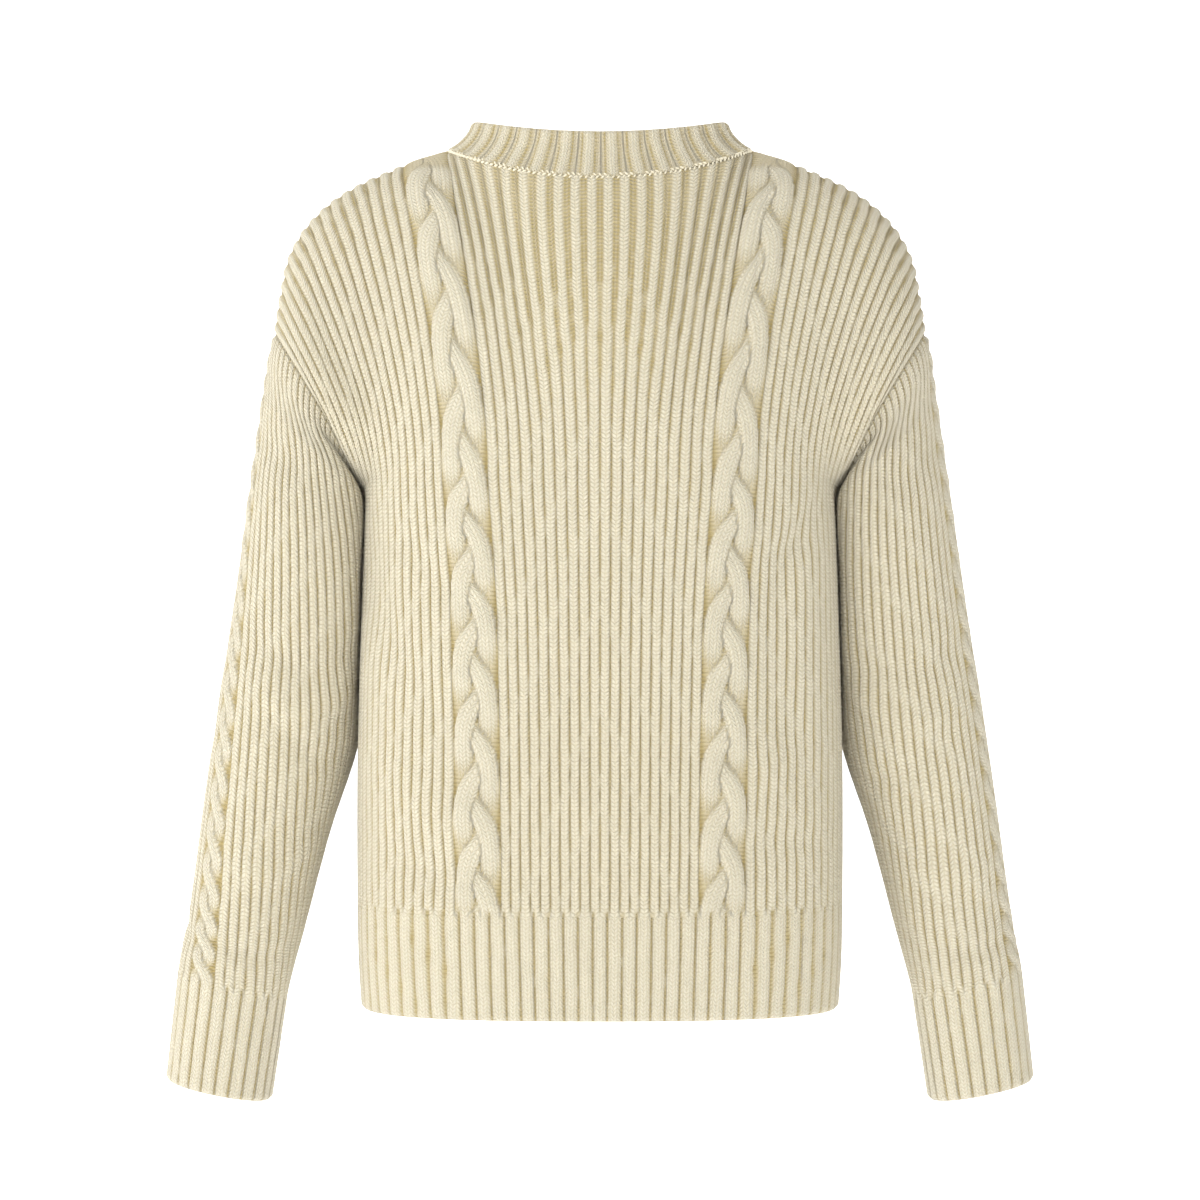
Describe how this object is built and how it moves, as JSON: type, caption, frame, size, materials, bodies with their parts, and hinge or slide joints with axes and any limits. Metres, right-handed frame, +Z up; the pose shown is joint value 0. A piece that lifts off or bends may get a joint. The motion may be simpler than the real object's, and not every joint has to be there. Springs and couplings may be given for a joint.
{
  "type": "cable knit sweater",
  "caption": "Cream ribbed wool sweater with long sleeves, crew collar, plaited cables down body front and back and rope cables down the sleeves, filled out as if worn.",
  "frame": {"origin": "middle of the neck opening, level with the top of the shoulders at the neck seam", "axes": "+Z up along the body, +Y out of the back, -Y out of the front, +X towards the wearer's left"},
  "size_m": [0.645, 0.2196, 0.7247],
  "materials": {
    "wool_knit": "soft napped wool, matte with a light sheen at the edges",
    "wool_ribbing": "ribbed wool, matte"
  },
  "bodies": {
    "root": {"back": "wool_knit", "front": "wool_knit", "sleeve_left": "wool_knit", "sleeve_right": "wool_knit", "collar": "wool_ribbing", "hem_rib_back": "wool_ribbing", "hem_rib_front": "wool_ribbing", "cuff_left": "wool_ribbing", "cuff_right": "wool_ribbing"}
  },
  "joints": []
}
